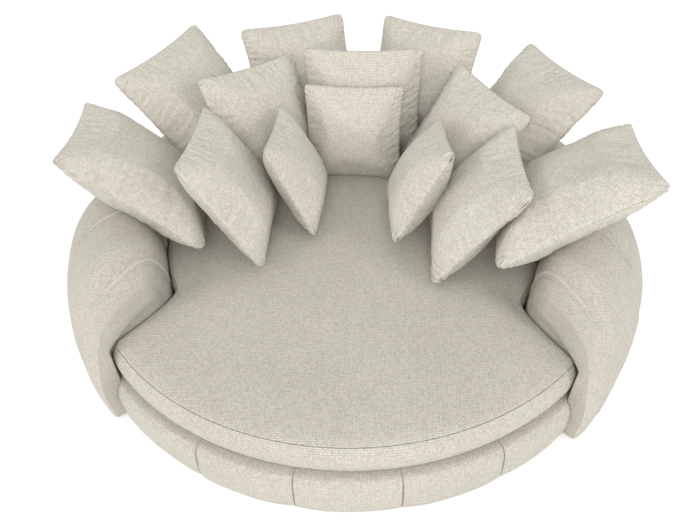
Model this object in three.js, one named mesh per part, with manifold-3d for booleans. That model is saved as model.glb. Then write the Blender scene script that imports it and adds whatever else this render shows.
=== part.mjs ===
// Round upholstered lounge sofa with a ring back, a loose seat cushion and fourteen scatter cushions.
// Millimetres, +Z up, the front faces -Y, the origin is on the floor under the centre of the circle.
// Angles round the sofa are in degrees from the front, positive towards +X.
import * as THREE from "three";
import { mergeGeometries, mergeVertices } from "three/addons/utils/BufferGeometryUtils.js";
import Module from "manifold-3d";

const wasm = await Module();
wasm.setup();

// Clearances
const seatGap = 0.3; // between pieces that touch or rest on each other
const slipGap = 8; // round the seat cushion, so that it lifts out
const overrun = 10; // how far a cutting solid runs past what it cuts
const weldDistance = 0.001; // corners closer than this are one corner
const pillowRest = 0.6; // under a scatter cushion, above what carries it

// Upholstered ring: its widest radius and its height, and the depths that set its other radii
const ringWideRadius = 1276;
const ringHeight = 606;
const ringDepth = 438; // from the widest line in to the inner wall
const footDepth = 12; // from the widest line in to the hem
const outerPadDepth = 106; // from the widest line in to the frame's space
const innerPadDepth = 117; // from the inner wall out to the frame's space
const crestDepth = 192; // from the inner wall out to the crest
const backSlimDepth = 54; // how much slimmer the back is than the arms
const hemHeight = 5;
const cavityHeight = 365;
const ringFootRadius = ringWideRadius - footDepth;
const ringInnerRadius = ringWideRadius - ringDepth;
const cavityOuterRadius = ringWideRadius - outerPadDepth;
const cavityInnerRadius = ringInnerRadius + innerPadDepth;
const crestRadius = ringInnerRadius + crestDepth;
const backWideRadius = ringWideRadius - backSlimDepth;

// Base boards and glides
const glideRadius = 26;
const glideHeight = 10.4;
const glideInDepth = 105; // from the boards' edge in to the glides
const dustCoverThick = 1;
const dustCoverInDepth = 15;
const boardThick = 18;
const boardCoverThick = 5; // from the base boards' edge to the padding's inner face
const boardReachDepth = 78; // how far the boards pass the ring's inner wall
const baseRadius = cavityOuterRadius - boardCoverThick;
const baseInnerRadius = ringInnerRadius - boardReachDepth;
const glideCircleRadius = baseRadius - glideInDepth;
const dustCoverRadius = baseRadius - dustCoverInDepth;

// How the arms fall to the back, and how the padding draws in at a seam
const dropStart = 74; // where the ring starts to fall from arm to back, and where it has
const dropEnd = 104;
const seamPullShare = 0.1; // how far padding draws in at a seam, of its own thickness
const seamPower = 6; // the higher, the nearer to the seam the padding draws in
const facingPower = 4;

// Where the ring is sewn, in degrees from the front
const cornerAngle = 49.8;
const throatAngle = 61;
const facingReach = 0.4; // the power that rounds the facing's plan from throat to corner
const facingCrestAngle = 55;
const facingInnerAngle = 64;
const facingOuterAngle = 54;
const armSeamCrest = 74.5;
const armSeamOuter = 68;
const backSeamAngle = 128;
const rearAngle = 180;
const noseDepth = 92; // how far from the front the padding of the arm's end is rounded over
const noseShare = 0.6;
const facingSteps = 6;
const armSteps = 7;
const backSteps = 10;
const railSteps = 6;

// Front rail
const railInDepth = 58; // from the ring's widest line in to the rail's face
const railPadDepth = 124;
const railRadius = ringWideRadius - railInDepth;
const railInnerRadius = railRadius - railPadDepth;
const railSeams = [-24.6, -6.4, 12, 30.4];

// Seat deck
const frontBoardGap = 4; // from the front rail's padding to the front board
const hoopGap = 15; // from the ring's inner wall to the hoops
const frontBoardRadius = railInnerRadius - frontBoardGap;
const hoopRadius = ringInnerRadius - hoopGap;
const deckBoardHeight = 155;
const deckBoardThick = 18;
const frontBoardAngle = 46;
const hoopAngle = 60;
const beamWide = 44;
const beamHigh = 90;
const webbingWide = 70;
const webbingThick = 2;
const platformThick = 2;
const platformInDepth = 16;

const frameGap = 9; // between the frame and the padding or board round it
const ribAngles = [67, 105, 150];
const topRailAngle = 63;
const sideBoardTuck = 1.6; // degrees short of the boards that it joins
const webbingAcrossDepth = 373; // from the hoops in to the outer straps across
const webbingLongDepth = 523; // and to the straps from front to rear
const webbingAcrossPitch = hoopRadius - webbingAcrossDepth;
const webbingLongOffset = hoopRadius - webbingLongDepth;
const webbingSideShare = 0.79; // of the front board's radius, where the side boards stand
const glideCount = 6;
const glideTaper = 4;
const glideSides = 16;
const dustCoverSides = 48;
const tackShare = 0.25; // of a board's thickness, from its outer face to where webbing is tacked
const boardStep = 6; // degrees to a flat on curved boards
const platformSteps = 44;

// Seat cushion
const seatTuckDepth = 4; // from the frame space's outer face in to the seat's front
const seatRadius = cavityOuterRadius - seatTuckDepth;
const seatBorder = 136;
const seatCrown = 27;
const coverThick = 4;
const zipLength = 420;
const zipHigh = 10;

// Scatter cushions
const largeSide = 650;
const mediumSide = 550;
const smallSide = 450;
const largeThick = 236;
const mediumThick = 196;
const smallThick = 166;
const pillowSteps = 8;
const pillowRound = 0.7; // the power that rounds the crown down to the seam
const sidePullShare = 0.055; // how far the middle of a side draws in, of half the side

// Heights that follow from the sizes above
const dustCoverZ = glideHeight + seatGap;
const baseZ = dustCoverZ + dustCoverThick + seatGap;
const baseTop = baseZ + boardThick;
const onBase = baseTop + seatGap;
const webbingZ = onBase + deckBoardHeight + seatGap;
const crossWebbingZ = webbingZ + webbingThick + seatGap;
const platformZ = crossWebbingZ + webbingThick + seatGap;
const seatBottom = platformZ + platformThick + seatGap;
const seatSeam = seatBottom + seatBorder;
const seatBackRadius = ringInnerRadius - slipGap;

const degrees = THREE.MathUtils.degToRad;
const clamp = THREE.MathUtils.clamp;
const lerp = THREE.MathUtils.lerp;

const finishes = {
  weave: { color: 0xcfcab8, roughness: 0.95, metalness: 0 },
  pillow: { color: 0xd8d4c5, roughness: 0.95, metalness: 0 },
  foam: { color: 0xe9e2c4, roughness: 1, metalness: 0 },
  timber: { color: 0xc9a877, roughness: 0.75, metalness: 0 },
  webbing: { color: 0x3f3b36, roughness: 0.9, metalness: 0 },
  cloth: { color: 0x2c2c2c, roughness: 1, metalness: 0 },
  plastic: { color: 0x1d1d1d, roughness: 0.5, metalness: 0 },
};

const sofa = new THREE.Group();

function addPiece(name, geometry, finish, parent = sofa) {
  const mesh = new THREE.Mesh(geometry, new THREE.MeshStandardMaterial(finishes[finish]));
  mesh.name = name;
  parent.add(mesh);
  return mesh;
}

// Positions only, shared corners merged, collapsed triangles dropped, faces pointing out.
function welded(geometry) {
  const bare = geometry.clone();
  bare.deleteAttribute("normal");
  bare.deleteAttribute("uv");
  const merged = mergeVertices(bare, weldDistance);
  const index = merged.index.array;
  const at = merged.attributes.position;
  const corner = [new THREE.Vector3(), new THREE.Vector3(), new THREE.Vector3()];
  const kept = [];
  let volume = 0;
  for (let i = 0; i < index.length; i += 3) {
    const [a, b, c] = [index[i], index[i + 1], index[i + 2]];
    if (a === b || b === c || c === a) continue;
    kept.push(a, b, c);
    [a, b, c].forEach((v, n) => corner[n].fromBufferAttribute(at, v));
    volume += corner[0].dot(corner[1].clone().cross(corner[2]));
  }
  if (volume < 0) kept.reverse();
  merged.setIndex(kept);
  merged.computeVertexNormals();
  return merged;
}

function moved(geometry, place) {
  const at = geometry.attributes.position;
  const point = new THREE.Vector3();
  for (let i = 0; i < at.count; i += 1) {
    point.fromBufferAttribute(at, i);
    place(point);
    at.setXYZ(i, point.x, point.y, point.z);
  }
  return geometry;
}

function solidOf(geometry) {
  const vertProperties = new Float32Array(geometry.attributes.position.array);
  const triVerts = new Uint32Array(geometry.index.array);
  return new wasm.Manifold(new wasm.Mesh({ numProp: 3, vertProperties, triVerts }));
}

function geometryOf(solid) {
  const mesh = solid.getMesh();
  const geometry = new THREE.BufferGeometry();
  geometry.setAttribute("position", new THREE.BufferAttribute(mesh.vertProperties, 3));
  geometry.setIndex(new THREE.BufferAttribute(mesh.triVerts, 1));
  return welded(geometry);
}

function polar(radius, angle, z) {
  const turn = degrees(angle);
  return new THREE.Vector3(radius * Math.sin(turn), -radius * Math.cos(turn), z);
}

// Height or radius along a hand-drawn run of points, straight between them.
function along(points, value, from, to) {
  for (let i = 1; i < points.length; i += 1) {
    if (value <= points[i][from]) {
      const [a, b] = [points[i - 1], points[i]];
      return lerp(a[to], b[to], clamp((value - a[from]) / (b[from] - a[from]), 0, 1));
    }
  }
  return points[points.length - 1][to];
}

// Padded ring. Each row is a share of the way out from the inner wall to the widest line, a share of
// the arms' height, and what is left of that height in the lower, reclined back.
const ringTopShares = [
  [0, 0.62, 0.89],
  [0.025, 0.77, 0.74],
  [0.1, 0.9, 0.68],
  [0.24, 0.98, 0.73],
  [0.43, 1, 0.79],
  [0.63, 0.94, 0.82],
  [0.8, 0.82, 0.83],
  [0.91, 0.66, 0.86],
  [0.98, 0.48, 1],
  [1, 0.3, 1],
  [0.99, 0.14, 1],
];
const ringSpan = ringWideRadius - ringInnerRadius;
const ringTop = ringTopShares.map(([out, up, left]) =>
  [ringInnerRadius + ringSpan * out, ringHeight * up, left]);

function ringSection(hollow, grown = 0) {
  const shape = new THREE.Shape();
  shape.moveTo(ringInnerRadius - grown, onBase);
  ringTop.forEach(([radius, z]) => shape.lineTo(radius < cavityInnerRadius ? radius - grown : radius, z));
  shape.lineTo(ringFootRadius, hemHeight);
  shape.lineTo(cavityOuterRadius, hemHeight);
  if (hollow) {
    shape.lineTo(cavityOuterRadius, cavityHeight);
    shape.lineTo(cavityInnerRadius, cavityHeight);
    shape.lineTo(cavityInnerRadius, onBase);
  } else {
    shape.lineTo(cavityOuterRadius, onBase);
  }
  shape.closePath();
  return shape;
}

// A seam as a flat cut through three points, each a radius, an angle and a height: the angle at
// which the cut passes any radius and height.
function seamCut(...points) {
  const [a, b, c] = points.map((point) => polar(...point));
  const across = b.sub(a).cross(c.sub(a)).normalize();
  const offset = across.dot(a);
  const flat = Math.hypot(across.x, across.y);
  const facing = Math.atan2(across.x, -across.y);
  const side = Math.sign(degrees(points[0][1]) - facing) || 1;
  return (radius, z) => {
    const turn = Math.acos(clamp((offset - across.z * z) / (radius * flat), -1, 1));
    return THREE.MathUtils.radToDeg(facing + side * turn);
  };
}

// Where a point of the arms' section comes to lie farther round, in the lower and slimmer back.
function fallen(radius, z, angle) {
  const share = THREE.MathUtils.smoothstep(Math.abs(angle), dropStart, dropEnd);
  const slimShare = (backWideRadius - cavityOuterRadius) / (ringWideRadius - cavityOuterRadius);
  const beyond = Math.max(0, radius - cavityOuterRadius) * (1 - lerp(1, slimShare, share));
  const height = z > cavityHeight + weldDistance ? z * lerp(1, along(ringTop, radius, 0, 2), share) : z;
  return [radius - beyond, height];
}

// A length of the ring: its section carried round from one seam to the other, with the padding
// thinned by a share of its own thickness.
function ringLength(section, steps, spread, fromAngle, toAngle, thinning) {
  const straight = new THREE.ExtrudeGeometry(section, { depth: 1, steps, bevelEnabled: false });
  return welded(
    moved(straight, (point) => {
      const [radius, z] = [point.x, point.y];
      const share = spread(point.z);
      const angle = lerp(fromAngle(radius, z), toAngle(radius, z), share);
      const full = 1 - thinning(share, radius, angle);
      const [backRadius, backZ] = fallen(radius, z, angle);
      const outRadius = lerp(clamp(radius, cavityInnerRadius, cavityOuterRadius), backRadius, full);
      const outZ = lerp(Math.min(z, cavityHeight), backZ, full);
      const turned = lerp(fromAngle(outRadius, outZ), toAngle(outRadius, outZ), share);
      point.copy(polar(outRadius, turned, outZ));
    }),
  );
}

const nearStart = (share) => 1 - Math.cos((Math.PI * share) / 2);
const bothEnds = (share) => (1 - Math.cos(Math.PI * share)) / 2;
const seamThinning = (share) => seamPullShare * Math.abs(2 * share - 1) ** seamPower;
const gapAngle = (radius) => THREE.MathUtils.radToDeg(seatGap / radius);

function frontAngle(radius) {
  const out = clamp((radius - seatBackRadius) / (seatRadius - seatBackRadius), 0, 1);
  return lerp(throatAngle, cornerAngle, out ** facingReach);
}

// The padding rounds over towards the arm's end, by its distance from the front face.
function noseThinning(radius, angle) {
  const fromFront = degrees(Math.abs(angle) - frontAngle(radius)) * radius;
  const rounded = 1 - clamp(fromFront / noseDepth, 0, 1);
  return noseShare * (1 - Math.sqrt(1 - rounded * rounded));
}

const facingSeam = seamCut(
  [crestRadius, facingCrestAngle, ringHeight],
  [ringInnerRadius, facingInnerAngle, seatSeam],
  [ringWideRadius, facingOuterAngle, hemHeight],
);

// The padded end of an arm. Grown by a clearance, it is what cuts the seat's corner free of it.
function armFacing(sign, grown = 0) {
  const setBack = (radius) => THREE.MathUtils.radToDeg((slipGap - grown) / radius);
  const front = (radius) => sign * (frontAngle(radius) + setBack(radius));
  const seam = (radius, z) => sign * (facingSeam(radius, z) - 0.5 * gapAngle(radius));
  const advance = (share, radius) => (1 - share) * THREE.MathUtils.radToDeg(grown / radius);
  const thinning = (share, radius, angle) =>
    noseThinning(radius, Math.abs(angle) + advance(share, radius)) + seamPullShare * share ** facingPower;
  return ringLength(ringSection(false, grown), facingSteps, nearStart, front, seam, thinning);
}

function addRing() {
  const hollow = ringSection(true);
  const armSeam = seamCut(
    [crestRadius, armSeamCrest, ringHeight],
    [ringWideRadius, armSeamOuter, ringHeight / 2],
    [ringWideRadius, armSeamOuter, hemHeight],
  );
  const flankSeam = () => backSeamAngle;
  const rearSeam = () => rearAngle;
  const armThinning = (share, radius, angle) => noseThinning(radius, angle) + seamThinning(share);
  const pieces = [];
  for (const [side, sign] of [["left", -1], ["right", 1]]) {
    const set = (seam, nudge) => (radius, z) => sign * (seam(radius, z) + nudge * gapAngle(radius));
    const length = (steps, from, to, thinning) =>
      ringLength(hollow, steps, bothEnds, set(from, 0.5), set(to, -0.5), thinning);
    pieces.push(
      addPiece(`arm_facing_${side}`, armFacing(sign), "weave"),
      addPiece(`arm_${side}`, length(armSteps, facingSeam, armSeam, armThinning), "weave"),
      addPiece(`back_${side}`, length(backSteps, armSeam, flankSeam, seamThinning), "weave"),
      addPiece(`back_rear_${side}`, length(backSteps, flankSeam, rearSeam, seamThinning), "weave"),
    );
  }
  return pieces;
}

// Front rail panels, thin at their seams and full between them.
const railShares = [
  [0.92, 0],
  [1, 0.25],
  [1, 0.5],
  [0.92, 0.8],
  [0.68, 1],
];

function addRail() {
  const railTop = platformZ - seatGap;
  const railSpan = railRadius - railInnerRadius;
  const shape = new THREE.Shape();
  shape.moveTo(railInnerRadius, onBase);
  shape.lineTo(cavityOuterRadius, onBase);
  shape.lineTo(cavityOuterRadius, hemHeight);
  for (const [out, up] of railShares) {
    shape.lineTo(railInnerRadius + railSpan * out, lerp(hemHeight, railTop, up));
  }
  shape.lineTo(railInnerRadius, railTop);
  shape.closePath();
  const seams = [-cornerAngle, ...railSeams, cornerAngle];
  for (let i = 1; i < seams.length; i += 1) {
    const panel = ringLength(
      shape,
      railSteps,
      bothEnds,
      (radius) => seams[i - 1] + 0.5 * gapAngle(radius),
      (radius) => seams[i] - 0.5 * gapAngle(radius),
      (share) => 2 * seamThinning(share),
    );
    addPiece(`rail_panel_${i}`, panel, "weave");
  }
}

// The seat cushion's plan: a circle in front, drawn in behind the arms' ends and round inside the ring.
function seatReach(angle) {
  const turn = Math.abs(((angle + 540) % 360) - 180);
  if (turn <= cornerAngle) return seatRadius;
  const inward = clamp((turn - cornerAngle) / (throatAngle - cornerAngle), 0, 1);
  return lerp(seatRadius, seatBackRadius, 1 - (1 - inward) ** (1 / facingReach));
}

const seatTopShares = [
  [0, 1],
  [0.35, 0.99],
  [0.65, 0.93],
  [0.85, 0.72],
  [0.95, 0.38],
  [1, 0],
];

// The border bulges a little between its two seams. Out is a share of the plan, up of the border.
const seatBorderShares = [
  [0.86, 0],
  [1, 0],
  [1.004, 0.5],
];

// Even steps of the lathe are spread so that the corners and the throats fall on a step.
const seatSteps = { front: 14, side: 4, back: 22 };

function seatAngle(turn) {
  const steps = seatSteps.front + 2 * seatSteps.side + seatSteps.back;
  const step = (turn / (2 * Math.PI)) * steps;
  const { front, side, back } = seatSteps;
  const marks = [
    [0, -cornerAngle],
    [front, cornerAngle],
    [front + side, throatAngle],
    [front + side + back, 360 - throatAngle],
    [steps, 360 - cornerAngle],
  ];
  return along(marks, step, 0, 1);
}

function seatBody(inset) {
  const profile = [new THREE.Vector2(0, seatBottom + inset)];
  seatBorderShares.forEach(([out, up]) => {
    profile.push(new THREE.Vector2(out, lerp(seatBottom + inset, seatSeam - inset, up)));
  });
  [...seatTopShares].reverse().forEach(([out, up]) => {
    profile.push(new THREE.Vector2(out, seatSeam - inset + seatCrown * up));
  });
  const steps = seatSteps.front + 2 * seatSteps.side + seatSteps.back;
  return welded(
    moved(new THREE.LatheGeometry(profile, steps), (point) => {
      const share = Math.hypot(point.x, point.z);
      const turn = (Math.atan2(point.x, point.z) + 2 * Math.PI) % (2 * Math.PI);
      const angle = seatAngle(turn);
      point.copy(polar(share * (seatReach(angle) - inset), angle, point.y));
    }),
  );
}

function clearOfArms(body, grown) {
  return solidOf(body).subtract(solidOf(armFacing(-1, grown))).subtract(solidOf(armFacing(1, grown)));
}

function addSeatCushion() {
  const zipReach = seatBackRadius - Math.sqrt(seatBackRadius ** 2 - (zipLength / 2) ** 2) + overrun;
  const zip = new THREE.BoxGeometry(zipLength, 2 * zipReach, zipHigh);
  zip.translate(0, seatBackRadius, seatBottom + seatBorder / 2);
  const outside = clearOfArms(seatBody(0), slipGap);
  const hollow = clearOfArms(seatBody(coverThick), slipGap + coverThick);
  const core = clearOfArms(seatBody(coverThick + seatGap), slipGap + coverThick + seatGap);
  const cover = geometryOf(outside.subtract(hollow).subtract(solidOf(welded(zip))));
  addPiece("seat_foam_core", geometryOf(core), "foam");
  return addPiece("seat_cushion_cover", cover, "weave");
}

// A flat board or cloth with a curved plan, between two angles and two radii.
function curvedBoard(inner, outer, fromAngle, toAngle, bottom, height) {
  const [start, finish] = [degrees(fromAngle - 90), degrees(toAngle - 90)];
  const shape = new THREE.Shape();
  shape.absarc(0, 0, outer, start, finish, false);
  shape.absarc(0, 0, inner, finish, start, true);
  shape.closePath();
  const curveSegments = Math.ceil((toAngle - fromAngle) / boardStep);
  const board = new THREE.ExtrudeGeometry(shape, { depth: height, curveSegments, bevelEnabled: false });
  board.translate(0, 0, bottom);
  return welded(board);
}

function block(sizeX, sizeY, sizeZ) {
  return welded(new THREE.BoxGeometry(sizeX, sizeY, sizeZ));
}

function addBase() {
  const disc = new THREE.CylinderGeometry(dustCoverRadius, dustCoverRadius, dustCoverThick, dustCoverSides);
  const dustCover = addPiece("dust_cover", welded(disc), "cloth");
  dustCover.rotation.x = degrees(90);
  dustCover.position.z = dustCoverZ + dustCoverThick / 2;
  const split = 0.5 * gapAngle(baseInnerRadius);
  for (const [side, from] of [["right", 0], ["left", rearAngle]]) {
    const [start, end] = [from + split, from + rearAngle - split];
    const board = curvedBoard(baseInnerRadius, baseRadius, start, end, baseZ, boardThick);
    addPiece(`base_board_${side}`, board, "timber");
  }
  for (let i = 0; i < glideCount; i += 1) {
    const glide = new THREE.CylinderGeometry(glideRadius, glideRadius - glideTaper, glideHeight, glideSides);
    const mesh = addPiece(`glide_${i + 1}`, welded(glide), "plastic");
    mesh.rotation.x = degrees(90);
    mesh.position.copy(polar(glideCircleRadius, ((i + 0.5) * 360) / glideCount, glideHeight / 2));
  }
}

function addRingFrame() {
  const topRailZ = cavityHeight - seatGap - boardThick;
  const [inner, outer] = [cavityInnerRadius + frameGap, cavityOuterRadius - frameGap];
  const ribHeight = topRailZ - seatGap - onBase;
  for (const [side, sign] of [["left", -1], ["right", 1]]) {
    const ends = [sign * topRailAngle, sign * (rearAngle - gapAngle(inner))].sort((a, b) => a - b);
    const topRail = curvedBoard(inner, outer, ends[0], ends[1], topRailZ, boardThick);
    addPiece(`top_rail_${side}`, topRail, "timber");
    ribAngles.forEach((angle, i) => {
      const board = block(boardThick, outer - inner, ribHeight);
      const rib = addPiece(`ring_rib_${side}_${i + 1}`, board, "timber");
      rib.position.copy(polar((inner + outer) / 2, sign * angle, onBase + ribHeight / 2));
      rib.rotation.z = degrees(sign * angle);
    });
  }
}

function addDeck() {
  const hoopInner = hoopRadius - deckBoardThick;
  const frontInner = frontBoardRadius - deckBoardThick;
  const ends = [-frontBoardAngle, frontBoardAngle];
  const frontBoard = curvedBoard(frontInner, frontBoardRadius, ...ends, onBase, deckBoardHeight);
  addPiece("front_board", frontBoard, "timber");
  const rearSplit = gapAngle(hoopInner);
  for (const [side, from, to] of [
    ["right", hoopAngle, rearAngle - rearSplit],
    ["left", rearAngle + rearSplit, 360 - hoopAngle],
  ]) {
    const hoop = curvedBoard(hoopInner, hoopRadius, from, to, onBase, deckBoardHeight);
    addPiece(`deck_hoop_${side}`, hoop, "timber");
  }
  for (const [side, sign] of [["left", -1], ["right", 1]]) {
    const ahead = polar(frontInner - deckBoardThick, sign * (frontBoardAngle - sideBoardTuck), 0);
    const behind = polar(hoopRadius, sign * (hoopAngle - sideBoardTuck), 0);
    const run = behind.clone().sub(ahead);
    const plank = block(deckBoardThick, run.length(), deckBoardHeight);
    const board = addPiece(`side_board_${side}`, plank, "timber");
    board.position.copy(ahead).addScaledVector(run, 0.5).setZ(onBase + deckBoardHeight / 2);
    board.rotation.z = Math.atan2(-run.x, run.y);
  }
  const beamZ = onBase + beamHigh / 2;
  const beamEnd = hoopInner - frameGap;
  const beamAcross = addPiece("beam_across", block(2 * beamEnd, beamWide, beamHigh), "timber");
  beamAcross.position.set(0, 0, beamZ);
  const beamStart = beamWide / 2 + seatGap;
  for (const [place, sign, end] of [["front", -1, frontInner - frameGap], ["rear", 1, beamEnd]]) {
    const beam = addPiece(`beam_${place}`, block(beamWide, end - beamStart, beamHigh), "timber");
    beam.position.set(0, (sign * (beamStart + end)) / 2, beamZ);
  }
}

function addWebbing() {
  const tackRadius = hoopRadius - deckBoardThick * tackShare;
  const half = webbingWide / 2;
  [-1, 0, 1].forEach((row, i) => {
    const y = row * webbingAcrossPitch;
    const carried = row < 0 ? frontBoardRadius * webbingSideShare : tackRadius;
    const reach = Math.sqrt(carried ** 2 - (Math.abs(y) + half) ** 2);
    const band = block(2 * reach, webbingWide, webbingThick);
    const strap = addPiece(`webbing_across_${i + 1}`, band, "webbing");
    strap.position.set(0, y, webbingZ + webbingThick / 2);
  });
  const tackFront = frontBoardRadius - deckBoardThick * tackShare;
  [-1, 1].forEach((row, i) => {
    const x = row * webbingLongOffset;
    const rear = Math.sqrt(tackRadius ** 2 - (webbingLongOffset + half) ** 2);
    const front = Math.sqrt(tackFront ** 2 - (webbingLongOffset + half) ** 2);
    const band = block(webbingWide, rear + front, webbingThick);
    const strap = addPiece(`webbing_long_${i + 1}`, band, "webbing");
    strap.position.set(x, (rear - front) / 2, crossWebbingZ + webbingThick / 2);
  });
  const outline = [];
  for (let i = 0; i < platformSteps; i += 1) {
    const angle = seatAngle((2 * Math.PI * i) / platformSteps);
    const edge = polar(seatReach(angle) - platformInDepth, angle, 0);
    outline.push(new THREE.Vector2(edge.x, edge.y));
  }
  const flat = { depth: platformThick, bevelEnabled: false };
  const cloth = new THREE.ExtrudeGeometry(new THREE.Shape(outline), flat);
  cloth.translate(0, 0, platformZ);
  addPiece("deck_cloth", geometryOf(clearOfArms(welded(cloth), slipGap)), "cloth");
}

// A knife-edge cushion, upright: two crowned squares sewn together, with pointed corners and its
// sides drawn in between them. The bottom edge lies on X, the front faces +Z, Y runs up the cushion.
function pillow(side, thick) {
  const half = side / 2;
  const sheet = (facing) =>
    moved(new THREE.PlaneGeometry(2, 2, pillowSteps, pillowSteps), (point) => {
      const u = Math.sin((Math.PI / 2) * point.x);
      const v = Math.sin((Math.PI / 2) * point.y);
      const fullness = Math.max(0, (1 - u * u) * (1 - v * v)) ** pillowRound;
      point.set(
        facing * half * u * (1 - sidePullShare * (1 - v * v)),
        half * v * (1 - sidePullShare * (1 - u * u)) + half,
        facing * (thick / 2) * fullness,
      );
    });
  return welded(mergeGeometries([sheet(1), sheet(-1)]));
}

// World corners of a mesh's triangles, three by three.
function cornersOf(mesh) {
  mesh.updateWorldMatrix(true, false);
  const at = mesh.geometry.attributes.position;
  return Array.from(mesh.geometry.index.array, (v) =>
    new THREE.Vector3().fromBufferAttribute(at, v).applyMatrix4(mesh.matrixWorld));
}

// The height at which an upright line through x and y meets a triangle, or null where it misses.
function heightOn([a, b, c], x, y) {
  const area = (b.x - a.x) * (c.y - a.y) - (b.y - a.y) * (c.x - a.x);
  if (area === 0) return null;
  const toB = ((x - a.x) * (c.y - a.y) - (y - a.y) * (c.x - a.x)) / area;
  const toC = ((b.x - a.x) * (y - a.y) - (b.y - a.y) * (x - a.x)) / area;
  if (toB < 0 || toC < 0 || toB + toC > 1) return null;
  return a.z + toB * (b.z - a.z) + toC * (c.z - a.z);
}

// How far one edge passes above another where they cross in plan, or null where they don't cross.
function crossingGap(a, b, c, d) {
  const area = (b.x - a.x) * (d.y - c.y) - (b.y - a.y) * (d.x - c.x);
  if (area === 0) return null;
  const s = ((c.x - a.x) * (d.y - c.y) - (c.y - a.y) * (d.x - c.x)) / area;
  const t = ((c.x - a.x) * (b.y - a.y) - (c.y - a.y) * (b.x - a.x)) / area;
  return s < 0 || s > 1 || t < 0 || t > 1 ? null : lerp(a.z, b.z, s) - lerp(c.z, d.z, t);
}

// The least drop from one triangle straight down to another that lies below it.
function dropBetween(upper, lower) {
  const drops = [];
  upper.forEach((point) => drops.push([point.z, heightOn(lower, point.x, point.y)]));
  lower.forEach((point) => drops.push([heightOn(upper, point.x, point.y), point.z]));
  let least = Infinity;
  for (const [above, below] of drops) {
    if (above !== null && below !== null) least = Math.min(least, above - below);
  }
  for (let i = 0; i < 3; i += 1) {
    for (let j = 0; j < 3; j += 1) {
      const gap = crossingGap(upper[i], upper[(i + 1) % 3], lower[j], lower[(j + 1) % 3]);
      if (gap !== null) least = Math.min(least, gap);
    }
  }
  return least;
}

// How far a cushion would drop, in plan as it is, before it meets the seat or the ring.
function dropOnto(mesh, carriers) {
  const [above, below] = [cornersOf(mesh), carriers.flatMap(cornersOf)];
  const boxes = [];
  for (let j = 0; j < below.length; j += 3) {
    const lower = below.slice(j, j + 3);
    boxes.push([lower, new THREE.Box2().setFromPoints(lower)]);
  }
  let least = Infinity;
  for (let i = 0; i < above.length; i += 3) {
    const upper = above.slice(i, i + 3);
    const plan = new THREE.Box2().setFromPoints(upper);
    for (const [lower, box] of boxes) {
      if (plan.intersectsBox(box)) least = Math.min(least, dropBetween(upper, lower));
    }
  }
  return least;
}

// Each cushion stands in a group turned to face the middle: turn is its direction from the back
// towards the left, lean is how far it tips outwards, roll how far it turns in its own plane. Its
// foot is placed by an angle from the back towards the left and a share of the seat's rear radius.
function addPillow(carriers, name, size, turn, lean, roll, around, outShare) {
  const [side, thick] = size;
  const stand = new THREE.Group();
  stand.position.copy(polar(seatBackRadius * outShare, 180 + around, ringHeight));
  stand.rotation.z = degrees(turn);
  sofa.add(stand);
  const mesh = addPiece(name, pillow(side, thick), "pillow", stand);
  mesh.rotation.set(degrees(90 - lean), 0, degrees(roll));
  stand.position.z -= dropOnto(mesh, carriers) - pillowRest;
}

const large = [largeSide, largeThick];
const medium = [mediumSide, mediumThick];
const small = [smallSide, smallThick];
const pillowPlaceShares = [
  ["pillow_arm_left", large, 112, 46, -14, 94, 0.79],
  ["pillow_arm_right", large, -110, 53, 20, -107, 0.76],
  ["pillow_flank_left", large, 71, 41, -1, 51, 0.88],
  ["pillow_flank_right", large, -75, 43, 8, -54, 0.82],
  ["pillow_rear_left", medium, 31, 28, -3, 19, 0.95],
  ["pillow_rear_right", medium, -33, 25, 4, -19, 0.93],
  ["pillow_middle_centre", medium, 1, 2, 0, -2, 0.7],
  ["pillow_middle_left", medium, 53, 31, -8, 50, 0.54],
  ["pillow_middle_right", medium, -59, 37, -1, -51, 0.51],
  ["pillow_front_left", medium, 95, 31, -6, 106, 0.45],
  ["pillow_front_right", medium, -92, 37, 4, -113, 0.46],
  ["pillow_small_centre", small, -1, 12, 0, 3, 0.43],
  ["pillow_small_left", small, 92, 24, -5, 65, 0.21],
  ["pillow_small_right", small, -93, 29, 14, -98, 0.22],
];

addBase();
addRingFrame();
addDeck();
addWebbing();
addRail();
const carriers = [...addRing(), addSeatCushion()];
pillowPlaceShares.forEach((row) => addPillow(carriers, ...row));

export default sofa;
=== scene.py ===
import math

import bmesh
import bpy
import numpy as np
from bpy.props import FloatProperty, FloatVectorProperty, IntProperty, PointerProperty
from mathutils import Matrix, Vector


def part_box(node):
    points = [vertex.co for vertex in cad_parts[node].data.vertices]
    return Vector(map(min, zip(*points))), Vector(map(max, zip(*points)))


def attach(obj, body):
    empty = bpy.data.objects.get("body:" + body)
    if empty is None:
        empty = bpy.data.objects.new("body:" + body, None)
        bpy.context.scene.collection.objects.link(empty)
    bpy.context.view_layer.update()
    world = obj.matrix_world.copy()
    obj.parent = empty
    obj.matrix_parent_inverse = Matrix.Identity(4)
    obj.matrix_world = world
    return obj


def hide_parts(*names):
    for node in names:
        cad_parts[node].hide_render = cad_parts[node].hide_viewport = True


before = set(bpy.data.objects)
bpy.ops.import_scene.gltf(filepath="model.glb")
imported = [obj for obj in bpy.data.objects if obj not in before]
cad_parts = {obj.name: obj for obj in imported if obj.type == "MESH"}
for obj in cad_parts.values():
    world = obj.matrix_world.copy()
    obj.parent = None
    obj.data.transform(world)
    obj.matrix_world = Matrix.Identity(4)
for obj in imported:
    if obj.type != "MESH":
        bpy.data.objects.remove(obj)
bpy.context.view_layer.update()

# Angles round the sofa are in degrees from the front, positive towards +X. Lengths are in metres.

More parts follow.
